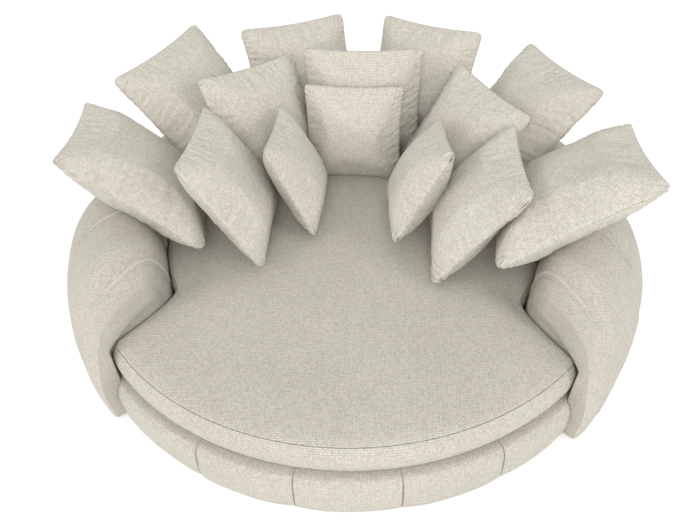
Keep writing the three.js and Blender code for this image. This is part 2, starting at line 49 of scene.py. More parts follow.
bl_info = {
    "name": "Round Lounge Sofa",
    "version": (1, 0, 0),
    "blender": (4, 5, 0),
    "location": "View3D > Sidebar > Round Sofa",
    "description": "Builds the upholstery, cushions and stage of a round lounge sofa",
    "category": "Add Mesh",
}

# Angles of the seat's front corners, of the throats where the arms' ends meet the ring's inner wall, of the
# bends in which the arms fall to the lower back, and of the back's side seams and the seam in its middle.
CORNER, THROAT, FALL, BACK_SEAM, REAR_SEAM = 49.8, 61.0, (74, 104), 128, 180
# Angles at which an arm's two seams cross its crest, then the seat's edge or half the arm's height, then
# the hem.
FACING_SEAM, ARM_SEAM = (55, 64, 54), (73.2, 68, 68)
FOOT_REACH = 3.4  # degrees by which the arms' ends stand forward at the foot

# Ring section: share of the way out from the inner wall, share of the arms' height, and what is left
# of that height in the lower back.
RING_SHARES = np.array([
    (0, 0.62, 0.89), (0.025, 0.77, 0.74), (0.1, 0.9, 0.68), (0.24, 0.98, 0.73), (0.43, 1, 0.79),
    (0.63, 0.94, 0.82), (0.8, 0.82, 0.83), (0.91, 0.66, 0.86), (0.98, 0.48, 1), (1, 0.3, 1),
    (0.99, 0.14, 1),
])
# Rail section: share of the way out and of the height. Seat top: share of the plan and of the crown.
RAIL_SHARES = np.array([(0.8, 1), (0.96, 0.84), (1, 0.5), (1, 0.25), (0.92, 0)])
SEAT_TOP_SHARES = np.array([
    (1, 0), (0.985, 0.2), (0.95, 0.42), (0.85, 0.72), (0.65, 0.93), (0.35, 0.99), (0, 1),
])
RAIL_SEAMS = (-CORNER, -24.6, -6.4, 12.0, 30.4, CORNER)
SEAM_GAP = math.degrees(0.00015)  # degrees times radius by which two pieces stay apart at their seam
CLOTH_RADIUS = 1.1  # radius along which the weave is measured round the ring and the rail
FOLD_HIGHLIGHT_OFFSET = 10.0  # added to the distance from a folded seam, which gets a painted pale highlight on its lip instead of stitches

# How far the deck cloth stays inside the seat's plan, and the radius of the dust cover under the base.
DECK_MARGIN, DUST_COVER_RADIUS = 0.018, 1.149

# How far a cushion stays off the seat, off the ring and off its neighbours.
SEAT_GAP, RING_GAP, CUSHION_GAP = 0.0012, 0.002, 0.0015

# Cushion name, side and thickness, direction it faces, lean, roll, place round the seat and out from it.
LARGE, MEDIUM, SMALL = (0.65, 0.236), (0.55, 0.196), (0.45, 0.166)
PILLOWS = (
    ("pillow_arm_left", LARGE, 112, 46, -14, 94, 0.79),
    ("pillow_arm_right", LARGE, -110, 53, 20, -107, 0.76),
    ("pillow_flank_left", LARGE, 71, 41, -1, 51, 0.88),
    ("pillow_flank_right", LARGE, -75, 43, 8, -54, 0.82),
    ("pillow_rear_left", MEDIUM, 31, 28, -3, 19, 0.95),
    ("pillow_rear_right", MEDIUM, -33, 25, 4, -19, 0.93),
    ("pillow_middle_centre", MEDIUM, 1, 2, 0, -2, 0.7),
    ("pillow_middle_left", MEDIUM, 53, 31, -8, 50, 0.54),
    ("pillow_middle_right", MEDIUM, -59, 37, -1, -51, 0.51),
    ("pillow_front_left", MEDIUM, 95, 31, -6, 106, 0.45),
    ("pillow_front_right", MEDIUM, -92, 37, 4, -113, 0.46),
    ("pillow_small_centre", SMALL, -1, 12, 0, 3, 0.43),
    ("pillow_small_left", SMALL, 92, 24, -5, 65, 0.21),
    ("pillow_small_right", SMALL, -93, 29, 14, -98, 0.22),
)

# The camera's place, and in degrees its turn round Z, its tip up from looking straight down and its roll.
# Then each light's name, which of the stage's powers it has, its width and its place. All face the middle
# of the seat.
CAMERA_PLACE, CAMERA_TURN = (0.19722, -2.36363, 2.31879), (5.198, 47.0, -1.776)
LIGHTS = (
    ("key_light", "key", 6.0, (0.6, -9.2, 6.4)),
    ("left_light", "side", 5.0, (-8.5, -5.0, 5.5)),
    ("right_light", "side", 5.0, (8.5, -5.0, 5.5)),
    ("fill_light", "fill", 6.0, (-0.6, 2.0, 7.0)),
)
SEAT_MIDDLE, FLOOR_REACH = Vector((0, 0, 0.3)), 40.0


def length(name, description, default):
    return FloatProperty(name=name, description=description, default=default, unit="LENGTH", precision=4)


def number(name, description, default):
    return FloatProperty(name=name, description=description, default=default)


def colour(name, description, default):
    return FloatVectorProperty(
        name=name, description=description, default=default, subtype="COLOR", size=3, min=0, max=1
    )


class RingSizes(bpy.types.PropertyGroup):
    wide_radius: length("Widest radius", "Radius of the ring at its widest line", 1.276)
    foot_radius: length("Foot radius", "Radius of the ring at the hem", 1.264)
    inner_radius: length("Inner radius", "Radius of the ring's inner wall", 0.838)
    crest_radius: length("Crest radius", "Radius of the arms' highest line", 1.03)
    height: length("Arm height", "Height of the arms above the floor", 0.606)
    hem_height: length("Hem height", "Height of the fabric's lower edge", 0.005)
    base_height: length("Base height", "Height of the top of the base boards", 0.0302)
    cavity_inner_radius: length("Cavity inner radius", "Inner radius of the space for the frame", 0.955)
    cavity_outer_radius: length("Cavity outer radius", "Outer radius of the space for the frame", 1.170)
    cavity_height: length("Cavity height", "Height of the space for the frame", 0.365)
    back_wide_radius: length("Back radius", "Widest radius at the slimmer back", 1.222)
    seam_depth: length("Seam depth", "How far a seam draws the padding in", 0.0058)
    seam_width: length("Seam width", "How far from a seam the narrow groove reaches", 0.0044)
    seam_lip: length("Seam lip", "How far a folded seam stands up", 0.0048)
    seam_hollow: length("Seam hollow", "How far the padding draws in broadly along a seam", 0.009)
    seam_reach: length("Seam reach", "How far from a seam the broad hollow reaches", 0.055)
    pucker: length("Pucker height", "Height of the gathers along the seams", 0.0024)
    unevenness: length("Unevenness", "Height of the soft waves in the padding", 0.0016)
    dome: length("Dome", "How far the front face of an arm's end bulges by the floor", 0.0065)
    dome_swell: length("Dome swell", "How much farther it bulges by the arm's top", 0.018)
    dome_edge: length("Dome edge", "How far behind the arm's end that face has its edge", 0.008)
    rail_inner_radius: length("Rail inner radius", "Inner radius of the front rail", 1.094)
    rail_outer_radius: length("Rail outer radius", "Widest radius of the front rail", 1.218)
    rail_height: length("Rail height", "Height of the front rail above the floor", 0.1899)


class SeatSizes(bpy.types.PropertyGroup):
    radius: length("Radius", "Radius of the seat cushion in front", 1.166)
    back_radius: length("Back radius", "Radius of the seat cushion inside the ring", 0.830)
    bottom: length("Underside", "Height of the cushion's underside", 0.1925)
    border: length("Border", "Height of the boxed border", 0.136)
    crown: length("Crown", "How far the top rises above its seam", 0.032)
    bulge: length("Border bulge", "How far the border stands out between its seams", 0.009)
    cover_thickness: length("Cover thickness", "Thickness of the cover", 0.0035)
    undulation: length("Undulation", "Height of the soft waves in the seat", 0.003)
    roll: length("Border roll", "How far the border draws in to its seams", 0.017)
    squeeze: length("Squeeze", "How far the cushion presses out against the ring", 0.006)
    groove: length("Groove", "How far the cover draws in at its top seam", 0.0022)
    sunk_seam: length("Sunk seam", "How far the crown starts below the border's edge", 0.001)
    foam_gap: length("Foam gap", "How far the foam lies inside the cover's outer face", 0.0065)


class PillowSizes(bpy.types.PropertyGroup):
    side_pull: number("Side pull", "How far the middle of a side draws in, of half the side", 0.055)
    roundness: number("Roundness", "Power that rounds the crown to the seam", 0.56)
    growth: number("Growth", "Size of the cushion's plan, of its side", 1.03)
    slimness: number("Slimness", "Thickness before the filling swells it", 0.93)
    spare_cloth: number("Spare cloth", "How much larger the cloth is than its seam", 0.035)
    steps: IntProperty(name="Steps", description="Faces along a side", default=112)
    frames: IntProperty(name="Frames", description="Frames for which the filling is simulated", default=20)
    pressure: number("Pressure", "Pressure of the filling in the simulation", 4.0)
    swell_cap: length("Swell cap", "How far the simulation may move the fabric", 0.024)
    pucker: length("Pucker height", "Height of the gathers along the seams", 0.0042)
    dents: length("Dents", "Depth of the soft dents in the filling", 0.0045)
    corner_tuck: number("Corner tuck", "How far a corner is blunted, as a share", 0.038)


class FinishChoices(bpy.types.PropertyGroup):
    weave_light: colour("Weave light", "Raised yarns of the sofa's fabric", (0.545, 0.519, 0.453))
    weave_deep: colour("Weave deep", "Yarns between the raised ones", (0.318, 0.296, 0.242))
    pillow_light: colour("Cushion light", "Raised yarns of the cushions' fabric", (0.645, 0.617, 0.545))
    pillow_deep: colour("Cushion deep", "Yarns between the raised ones", (0.36, 0.337, 0.28))
    timber: colour("Timber", "Sawn timber and board", (0.56, 0.38, 0.20))
    foam: colour("Foam", "Seat foam", (0.80, 0.74, 0.52))
    webbing: colour("Webbing", "Elastic webbing", (0.05, 0.043, 0.036))
    lining: colour("Lining", "Black cloth under the seat and the base", (0.022, 0.022, 0.024))
    plastic: colour("Plastic", "Moulded glides", (0.012, 0.012, 0.013))
    weave_pitch: length("Weave pitch", "Width of one block of the basket weave", 0.0078)


class StageChoices(bpy.types.PropertyGroup):
    floor: colour("Floor", "Colour of the floor", (0.95, 0.95, 0.945))
    key: number("Key light", "Power of the large light in front", 620.0)
    side: number("Side lights", "Power of each of the two lights at the sides", 250.0)
    fill: number("Fill light", "Power of the light overhead", 20.0)
    sky: number("Surround", "Strength of the pale surround", 0.86)
    lens: number("Focal length", "Focal length on a 36 mm sensor", 34.67)


def ring():
    return bpy.context.scene.round_sofa_ring


def seat():
    return bpy.context.scene.round_sofa_seat


def cushions():
    return bpy.context.scene.round_sofa_pillows


def finishes():
    return bpy.context.scene.round_sofa_finishes


# Shapes


def lerp(a, b, share):
    return a + (b - a) * share


def polar(radius, angle, height):
    """A point at a radius, an angle in degrees from the front and a height."""
    radius, angle, height = np.broadcast_arrays(radius, angle, height)
    turn = np.radians(angle)
    return np.stack([radius * np.sin(turn), -radius * np.cos(turn), height], axis=-1)


def turned(around, tip, roll):
    """A turn in three steps: by the roll in its own plane, tipped up about X, then round Z."""
    around_z, about_x, in_plane = (
        Matrix.Rotation(math.radians(angle), 3, axis)
        for angle, axis in ((around, "Z"), (tip, "X"), (roll, "Z"))
    )
    return around_z @ about_x @ in_plane


def smooth_step(value, start, end):
    """Nought before start, one after end, and three s squared less two s cubed between."""
    share = np.clip((value - start) / (end - start), 0, 1)
    return share * share * (3 - 2 * share)


def smooth_run(points, count):
    """A curve through given points, with each span's slope the mean of its neighbours', resampled to
    an even spacing along its length."""
    points = np.asarray(points, float)
    ends = np.vstack([2 * points[0] - points[1], points, 2 * points[-1] - points[-2]])
    before, a, b, after = (ends[i:len(ends) - 3 + i, None, :] for i in range(4))
    t = np.linspace(0, 1, 24, endpoint=False)[None, :, None]
    curve = 0.5 * (
        2 * a + (b - before) * t + (2 * before - 5 * a + 4 * b - after) * t**2
        + (3 * a - before - 3 * b + after) * t**3
    )
    return evenly(np.vstack([curve.reshape(-1, points.shape[1]), points[-1]]), count)


def evenly(points, count):
    """The same run of points, resampled to an even spacing of its first two columns."""
    points = np.asarray(points, float)
    run = run_length(points)
    at = np.linspace(0, run[-1], count)
    return np.stack([np.interp(at, run, column) for column in points.T], axis=-1)


def run_length(points):
    """How far along a run of points each one lies, by its first two columns."""
    return np.concatenate([[0], np.cumsum(np.linalg.norm(np.diff(points[:, :2], axis=0), axis=1))])


def turned_from_front(angle):
    """How far an angle lies from the front, whichever way round."""
    return np.abs((np.asarray(angle, float) + 540) % 360 - 180)


def unrolled(points):
    """Length of cloth from the last row of a grid back to each point, less than nought before it."""
    step = np.linalg.norm(np.diff(points, axis=0), axis=-1)
    run = np.vstack([np.zeros((1, step.shape[1])), np.cumsum(step, axis=0)])
    return run - run[-1]


def waves(along, seed, pitches, count=9):
    """Soft irregular waves between about -1 and 1: a sum of sines of seeded pitch and phase."""
    draw = np.random.default_rng(seed)
    total = np.zeros_like(np.asarray(along, float))
    for pitch, phase in zip(draw.uniform(*pitches, count), draw.uniform(0, 2 * math.pi, count)):
        total = total + np.sin(2 * math.pi * along / pitch + phase)
    return total / math.sqrt(count)


def waves_over(x, y, seed, pitches, count=12):
    """Soft irregular waves over a surface: a sum of sines of seeded pitch, direction and phase."""
    draw = np.random.default_rng(seed)
    total = np.zeros_like(np.asarray(x + y, float))
    for pitch, turn, phase in zip(
        draw.uniform(*pitches, count), draw.uniform(0, math.pi, count), draw.uniform(0, 2 * math.pi, count)
    ):
        total = total + np.sin(2 * math.pi * (x * math.cos(turn) + y * math.sin(turn)) / pitch + phase)
    return total / math.sqrt(count)


def grid_quads(rows, columns, closed=False):
    """Corner numbers of the faces of a grid, whose columns close on themselves where closed."""
    row = np.arange(rows - 1)[:, None] * columns
    column = np.arange(columns if closed else columns - 1)[None, :]
    after = (column + 1) % columns
    corners = (row + column, row + after, row + columns + after, row + columns + column)
    return np.stack(corners, axis=-1).reshape(-1, 4)


def mesh_of(name, grids, weld=2e-5, sharp=60.0):
    """One mesh from several grids of points, each with its cloth coordinates and whether its columns close
    on themselves. Points that coincide are joined, which closes the seams and poles."""
    points, cloths, quads, start = [], [], [], 0
    for grid, cloth, closed in grids:
        rows, columns = grid.shape[:2]
        points.append(grid.reshape(-1, 3))
        cloths.append(np.broadcast_to(cloth, grid.shape).reshape(-1, 3))
        quads.append(grid_quads(rows, columns, closed) + start)
        start += rows * columns
    points, cloths, quads = np.concatenate(points), np.concatenate(cloths), np.concatenate(quads)
    mesh = bpy.data.meshes.new(name)
    mesh.vertices.add(len(points))
    mesh.vertices.foreach_set("co", points.astype(np.float32).ravel())
    mesh.loops.add(quads.size)
    mesh.loops.foreach_set("vertex_index", quads.astype(np.int32).ravel())
    mesh.polygons.add(len(quads))
    mesh.polygons.foreach_set("loop_start", np.arange(0, quads.size, 4, dtype=np.int32))
    mesh.update(calc_edges=True)
    cloth = mesh.attributes.new("cloth", "FLOAT_VECTOR", "POINT")
    cloth.data.foreach_set("vector", cloths.astype(np.float32).ravel())
    joined = bmesh.new()
    joined.from_mesh(mesh)
    bmesh.ops.remove_doubles(joined, verts=joined.verts, dist=weld)
    bmesh.ops.recalc_face_normals(joined, faces=joined.faces)
    joined.to_mesh(mesh)
    joined.free()
    mesh.shade_smooth()
    mesh.set_sharp_from_angle(angle=math.radians(sharp))
    return mesh


def upholster(meshes):
    """Puts padded lengths of the sofa in the scene in its fabric, each standing for its CAD node."""
    for node, mesh in meshes:
        add_piece(mesh, "sofa_body", "weave", fabric_of_sofa(), node)


def add_piece(mesh, body, slot, material, *nodes):
    """Puts a finished mesh in the scene under its own name, riding on a body and standing for CAD nodes."""
    piece = bpy.data.objects.new(mesh.name, mesh)
    bpy.context.scene.collection.objects.link(piece)
    mesh.materials.append(material)
    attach(piece, body)
    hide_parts(*nodes)
    return piece


# Ring


def seam_cut(*corners):
    """A seam as a flat cut through three points, each a radius, an angle and a height: the angle at which
    the cut passes any radius and height, from the arc cosine of what is left of the plane's offset."""
    a, b, c = (polar(*corner) for corner in corners)
    across = np.cross(b - a, c - a)
    across /= np.linalg.norm(across)
    offset = across @ a
    flat = math.hypot(across[0], across[1])
    facing = math.degrees(math.atan2(across[0], -across[1]))
    side = 1 if corners[0][1] >= facing else -1

    def angle_at(radius, height):
        turn = np.arccos(np.clip((offset - across[2] * height) / (radius * flat), -1, 1))
        return facing + side * np.degrees(turn)

    return angle_at


def foot_advance(radius, height):
    """How many degrees the arm's end stands farther forward: outside the seat by the floor, and over the
    seat's corner higher up, where the padding swells over it. It dies away towards the top of the arm. The
    seat's edge is 1.166 out and its seam 0.3285 up."""
    over = smooth_step(height, 0.33, 0.385)
    outside = smooth_step(radius, lerp(1.17, 0.97, over), lerp(1.186, 1.2, over))
    return FOOT_REACH * outside * (1 - smooth_step(height, 0.2, 0.6))


def front_angle(radius, height):
    """Where the arm's end stands, from the throat by the seat's rear radius to the corner in front: the
    share of the way out, to the power 0.4, and leaning back by up to a degree above the seat."""
    out = np.clip((radius - seat().back_radius) / (seat().radius - seat().back_radius), 0, 1)
    lean = np.clip((height - 0.36) / 0.24, 0, 1) ** 1.4
    return lerp(THROAT, CORNER, out**0.4) + lean - foot_advance(radius, height)


def seat_reach(angle):
    """The seat cushion's plan radius at an angle: round in front, drawn in behind the arms' ends by the
    inverse of the arm end's curve, and round inside the ring."""
    inward = np.clip((turned_from_front(angle) - CORNER) / (THROAT - CORNER), 0, 1)
    return lerp(seat().radius, seat().back_radius, 1 - (1 - inward) ** 2.5)


def ring_profile(count=118):
    """The ring's outer line from the foot of its inner wall over the top to the hem, as radius, height and
    what is left of the height in the back."""
    r = ring()
    span = r.wide_radius - r.inner_radius
    out, up, left = RING_SHARES.T
    top = np.stack([r.inner_radius + span * out, r.height * up, left], axis=-1)
    wall = [(r.inner_radius, r.base_height, 1), (r.inner_radius, 0.2, 1)]
    run = np.vstack([wall, top, (r.foot_radius, r.hem_height, 1)])
    under = evenly([(r.foot_radius, r.hem_height, 1), (r.cavity_outer_radius, r.hem_height, 1)], 8)
    return np.vstack([smooth_run(run, count), under[1:]])


def held(radius, height):
    """The nearest point of the frame space, towards which padding is drawn in."""
    r = ring()
    nearest = np.clip(radius, r.cavity_inner_radius, r.cavity_outer_radius)
    return nearest, np.minimum(height, r.cavity_height)


def fallen(radius, height, left, angle):
    """Where a point of the arms' section lies farther round, in the lower and slimmer back."""
    r = ring()
    share = smooth_step(np.abs(angle), *FALL)
    slim = (r.back_wide_radius - r.cavity_outer_radius) / (r.wide_radius - r.cavity_outer_radius)
    beyond = np.maximum(0, radius - r.cavity_outer_radius) * (1 - lerp(1, slim, share))
    return radius - beyond, height * lerp(1, left, share)


def nose_thinning(radius, height, angle):
    """How much the padding rounds over towards the arm's end: a quarter circle over 85 to 135 mm, which
    takes away 22 to 80 % of the padding. Both grow from the arm's fuller foot to its top."""
    from_front = np.radians(np.abs(angle) - front_angle(radius, height)) * radius
    reach = lerp(0.085, 0.135, smooth_step(height, 0.2, 0.5))
    rounded = 1 - np.clip(from_front / reach, 0, 1)
    return lerp(0.22, 0.8, smooth_step(height, 0.1, 0.5)) * (1 - np.sqrt(1 - rounded**2))


def seam_pull(distance, kind):
    """How far padding draws in near a seam: a broad hollow that dies away with distance, and close to it a
    cusp at a plain seam, or the raised lip of a folded one, with a shadow groove on the side in front."""
    r = ring()
    hollow = r.seam_hollow * np.exp(-((distance / r.seam_reach) ** 2))
    if kind == "plain":
        return r.seam_depth * np.exp(-distance / r.seam_width) + 0.4 * hollow
    lip = r.seam_lip * np.exp(-((distance / (0.8 * r.seam_width)) ** 2))
    groove = r.seam_depth * np.exp(-(((distance - 1.9 * r.seam_width) / r.seam_width) ** 2))
    return hollow - lip + (groove if kind == "shadowed" else 0.0)


def puckers(distance, along, seed):
    """Gathers that run away from a seam: waves along it that rise just off the seam and die away."""
    rise = (1 - np.exp(-distance / 0.008)) * np.exp(-distance / 0.038)
    patchy = 0.55 + 0.45 * waves(along, seed + 50, (0.12, 0.4), 4)
    return ring().pucker * rise * patchy * waves(along, seed, (0.018, 0.042))


def sewn_length(name, outer, under, start, end, sign, steps, seed, solid=False, nose=True, fading=()):
    """A length of padding between two seams. Every section point goes round from one seam's angle to the
    other's; the padding is drawn in towards the frame by the nose, the seams and their gathers. The folded
    seams at the ends that are fading die away on the outer side. A solid length has a domed front face."""
    r = ring()
    along = run_length(outer)
    kinds = ("lipped", "shadowed") if fading else ("plain", "plain")

    def carried(curve, share, dome=0.0, down=along):
        radius, height, left = (curve[..., i] for i in range(3))
        first, last = start(radius, height), end(radius, height)
        angle = lerp(first, last, share)
        back_radius, back_height = fallen(radius, height, left, angle)
        hold_radius, hold_height = held(radius, height)
        pad = np.hypot(back_radius - hold_radius, back_height - hold_height)
        to_start = np.radians(np.abs(angle - first)) * radius
        to_end = np.radians(np.abs(last - angle)) * radius
        shown = 1 - smooth_step(radius, 1.07, 1.21)
        at_end, at_start = (shown if side in fading else 1.0 for side in ("end", "start"))
        pull = (seam_pull(to_end, kinds[1]) - puckers(to_end, down, seed + 1)) * at_end
        if not solid:
            pull = pull + (seam_pull(to_start, kinds[0]) - puckers(to_start, down, seed)) * at_start
        uneven = waves_over(np.radians(angle) * CLOTH_RADIUS, down + 0 * angle, seed + 7, (0.12, 0.5))
        pull = np.clip(pull - r.unevenness * uneven, -0.004, 0.03)
        thinning = nose_thinning(radius, height, angle) if nose else 0 * angle
        full = 1 - thinning - pull * np.minimum(1, pad / 0.04) / np.maximum(pad, 0.02)
        out_radius = lerp(hold_radius, back_radius, full)
        out_height = lerp(hold_height, back_height, full)
        round_to = lerp(start(out_radius, out_height), end(out_radius, out_height), share)
        round_to = round_to - sign * np.degrees(dome / out_radius)
        points = polar(out_radius, round_to, out_height)
        near = np.minimum(to_end, 1.0 if solid else to_start)
        # the offset makes the material paint a pale highlight on a folded seam's lip, fading it where the
        # seam fades
        if fading:
            near = near + FOLD_HIGHLIGHT_OFFSET + 0.01 * (1 - shown)
        around = unrolled(points) if nose and len(points) > 2 else np.radians(round_to) * CLOTH_RADIUS
        return points, np.stack(np.broadcast_arrays(around, down + 0 * round_to, near), axis=-1)

    line = np.linspace(0, 1, steps + 1)
    share = (1 - np.cos(math.pi * line))[:, None] / 2
    over, below = carried(outer, share), carried(under, share)
    rho = np.linspace(0, 1, 61 if solid else 2)[:, None, None]
    section = outer + (under - outer) * rho
    proud = r.dome + r.dome_swell * smooth_step(section[..., 1], 0.335, 0.47)
    crown = np.sin(math.pi * np.minimum(rho[..., 0], 0.5)) * proud if solid else 0.0
    front, front_cloth = carried(section, 0.0, crown)
    if solid:
        inward = rho[..., 0] * np.linalg.norm((under - outer)[:, :2], axis=1)
        front_cloth[..., 0] = over[1][0, :, 0] - inward
    sheets = [over, below, (front, front_cloth), carried(section[[0, -1]], 1.0)]
    for i in (0, -1):
        sheets.append([np.stack([a[:, i], b[:, i]], axis=1) for a, b in zip(over, below)])
    return mesh_of(name, [(points, cloth, False) for points, cloth in sheets])


def ring_meshes():
    """Name and mesh of each sewn length of the ring, from the arm's end to the middle of the back."""
    r = ring()
    radii, heights = (r.crest_radius, r.inner_radius, r.wide_radius), (r.height, seat_edge(), r.hem_height)
    facing_seam = seam_cut(*zip(radii, FACING_SEAM, heights))
    radii, heights = (r.crest_radius, r.wide_radius, r.wide_radius), (r.height, r.height / 2, r.hem_height)
    arm_seam = seam_cut(*zip(radii, ARM_SEAM, heights))
    outer = ring_profile()
    cavity = np.stack([*held(outer[:, 0], outer[:, 1]), outer[:, 2]], axis=-1)
    cavity[:, 1] = np.maximum(cavity[:, 1], r.hem_height)
    corner, hem = ((r.cavity_outer_radius, height, 1) for height in (r.base_height, r.hem_height))
    floor = evenly([(r.inner_radius, r.base_height, 1), corner], len(outer) - 4)
    floor = np.vstack([floor, evenly([corner, hem], 5)[1:]])

    def cut(seam, sign, nudge):
        return lambda radius, height: sign * (seam(radius, height) + nudge * SEAM_GAP / radius)

    def upright(angle):
        return lambda radius, height: angle + 0 * radius

    def arm_end(radius, height):
        return front_angle(radius, height) + np.degrees(r.dome_edge / radius)

    # Each length's name, inner section, two seams and steps round. Then whether it is solid, whether it is
    # rounded over towards the arm's end, and which of its folded seams fade.
    made = []
    for side, sign in (("left", -1), ("right", 1)):
        for name, under, first, last, steps, solid, nose, fading in (
            (f"arm_facing_{side}", floor, arm_end, facing_seam, 76, True, True, ("end",)),
            (f"arm_{side}", cavity, facing_seam, arm_seam, 64, False, True, ("start", "end")),
            (f"back_{side}", cavity, arm_seam, upright(BACK_SEAM), 110, False, False, ("start",)),
            (f"back_rear_{side}", cavity, upright(BACK_SEAM), upright(REAR_SEAM), 110, False, False, ()),
        ):
            seed = 11 * len(made) + 3
            start, end = cut(first, sign, 0 if solid else 1), cut(last, sign, -1)
            made.append((name, sewn_length(
                f"{name}_padding", outer, under, start, end, sign, steps, seed, solid, nose, fading
            )))
    return made


def rail_meshes():
    """Name and mesh of each panel of the front rail: its section carried round between two seams."""
    r = ring()
    out, up = RAIL_SHARES.T
    radii = lerp(r.rail_inner_radius, r.rail_outer_radius, out)
    line = np.stack([radii, lerp(r.hem_height, r.rail_height, up)], axis=-1)
    top, foot = ((r.rail_inner_radius, height) for height in (r.rail_height, r.base_height))
    corner, hem = ((r.cavity_outer_radius, height) for height in (r.base_height, r.hem_height))
    outer = [evenly([top, line[0]], 6)[:-1], smooth_run(line, 44), evenly([line[-1], hem], 5)[1:]]
    outer = np.vstack(outer)
    inner = np.vstack([evenly([top, foot], 12)[:-1], evenly([foot, corner], 12)[:-1]])
    inner = np.vstack([inner, evenly([corner, hem], len(outer) - len(inner))])
    outer, inner = (np.column_stack([a, np.ones(len(a))]) for a in (outer, inner))
    made = []

    def upright(at, nudge):
        """A rail seam: upright, but by the arms' ends as far back as their foot stands forward."""
        end = np.sign(at) if abs(at) == CORNER else 0
        return lambda radius, height: at + nudge * SEAM_GAP / radius - end * foot_advance(radius, height)

    for i in range(5):
        start, end = upright(RAIL_SEAMS[i], 1), upright(RAIL_SEAMS[i + 1], -1)
        name = f"rail_panel_{i + 1}"
        seed = 200 + 9 * i
        padding = sewn_length(f"{name}_padding", outer, inner, start, end, 1, 60, seed, nose=False)
        made.append((name, padding))
    return made


# Seat cushion


def seat_edge():
    """Height of the cushion's top seam."""
    return seat().bottom + seat().border


def seat_top(radius, angle):
    """Height of the seat's top at a radius and an angle: the crown's share at that share of the plan, with
    soft waves that die away at the edge."""
    s = seat()
    share = np.clip(radius / seat_reach(angle), 0, 1)
    curve = smooth_run(SEAT_TOP_SHARES, 200)[::-1]
    crown = np.interp(share, curve[:, 0], curve[:, 1])
    x, y = radius * np.sin(np.radians(angle)), -radius * np.cos(np.radians(angle))
    soft = s.undulation * waves_over(x, y, 5, (0.35, 1.1)) * smooth_step(1 - share, 0, 0.25)
    return seat_edge() + s.crown * crown + soft - s.sunk_seam


def rounded_reach(angles):
    """The seat's plan with its two front corners rounded, as the mean of the plan over 1.6 degrees, and
    pressed out against the ring behind the arms' ends."""
    plan = sum(seat_reach(angles + d) for d in np.linspace(-0.8, 0.8, 7)) / 7
    return plan + seat().squeeze * smooth_step(turned_from_front(angles), THROAT, THROAT + 11)


def seat_mesh(name, inset=0.0, columns=600, plain=False):
    """A boxed cushion: the underside, the border and the crowned top as one profile carried round its plan,
    drawn in at the top and bottom seams."""
    s = seat()
    angles = 180 + np.arange(columns) * 360 / columns
    reach = rounded_reach(angles) - inset
    rows = 7 if plain else 17
    first, last = 5, 4 + rows  # the border's rows, between those of the underside and of the top
    under = np.linspace(0, 0.97, first)
    up = (1 - np.cos(np.linspace(0, math.pi, rows))) / 2
    edge = 1 - np.cos(np.linspace(0, math.pi / 2, 14 if plain else 52))[1:]
    out = np.concatenate([under, np.ones(rows), 1 - edge])
    off_seam = s.border * np.minimum(up, 1 - up)
    from_seam = np.concatenate([(1 - under) * s.radius, off_seam, edge * s.radius])
    along = np.radians(angles - 180) * s.radius
    roll = s.roll * (1 - 0.85 * smooth_step(turned_from_front(angles), 50, 60))[None, :]
    drawn_in = smooth_step(up, 0.55, 1.0) ** 1.6 + 0.6 * smooth_step(1 - up, 0.6, 1.0) ** 1.6
    radius = out[:, None] * reach[None, :]
    radius[first:last + 1] -= drawn_in[:, None] * roll
    if not plain:
        bulge = s.bulge * np.sin(math.pi * up)
        radius[first:last + 1] += bulge[:, None] + puckers(off_seam[:, None], along[None, :], 31)
    sides = lerp(s.bottom + inset, seat_edge() - inset, up)
    sides = np.concatenate([np.full(first, s.bottom + inset), sides])[:, None] + np.zeros(columns)
    height = np.vstack([sides, seat_top(radius[last + 1:] + inset, angles[None, :]) - inset])
    radius[last + 1:] -= roll * np.clip(radius[last + 1:] / reach[None, :], 0, 1) ** 6
    radius[:first] -= 0.6 * roll * under[:, None]
    groove = (0.0 if plain else s.groove) * np.exp(-from_seam / 0.004)[:, None]
    radius = np.maximum(radius - groove * 0.8, 0) * (out > 0)[:, None]
    height[last:] -= groove[last:] * 0.6
    grid = polar(radius, angles[None, :], height)
    wound = np.stack(np.broadcast_arrays(along[None, :], height), axis=-1)
    near = np.broadcast_to(from_seam[:, None, None], radius.shape + (1,))
    parts = []
    for start, end, laid in ((0, first + 1, grid), (first, last + 1, wound), (last, None, grid)):
        cloth = np.concatenate([laid[start:end, :, :2], near[start:end]], axis=-1)
        parts.append((grid[start:end], cloth, True))
    return mesh_of(name, parts, sharp=75.0)


# Scatter cushions


def pillow_sheets(side, thick, steps):
    """The two faces of a knife-edge cushion: crowned squares whose sides draw in between blunt corners. The
    crown is the product of one less the squares of both coordinates, to the power of the roundness. A
    corner is blunted by taking from each coordinate a small share times a high power of the other."""
    c = cushions()
    line = np.linspace(-1, 1, steps + 1)
    line = lerp(line, np.sin(math.pi / 2 * line), 0.45)
    u, v = np.meshgrid(line, line)
    crown = np.maximum(0, (1 - u * u) * (1 - v * v)) ** c.roundness
    half = side / 2 * c.growth
    tuck = c.corner_tuck * lerp(1.7, 1.0, smooth_step(v, -1, 1))
    power = (1 - tuck) / tuck
    x = half * u * (1 - c.side_pull * (1 - v * v)) * (1 - tuck * np.abs(v) ** power)
    y = half * v * (1 - c.side_pull * (1 - u * u)) * (1 - tuck * np.abs(u) ** power) + side / 2
    return u, v, x, y, thick / 2 * crown


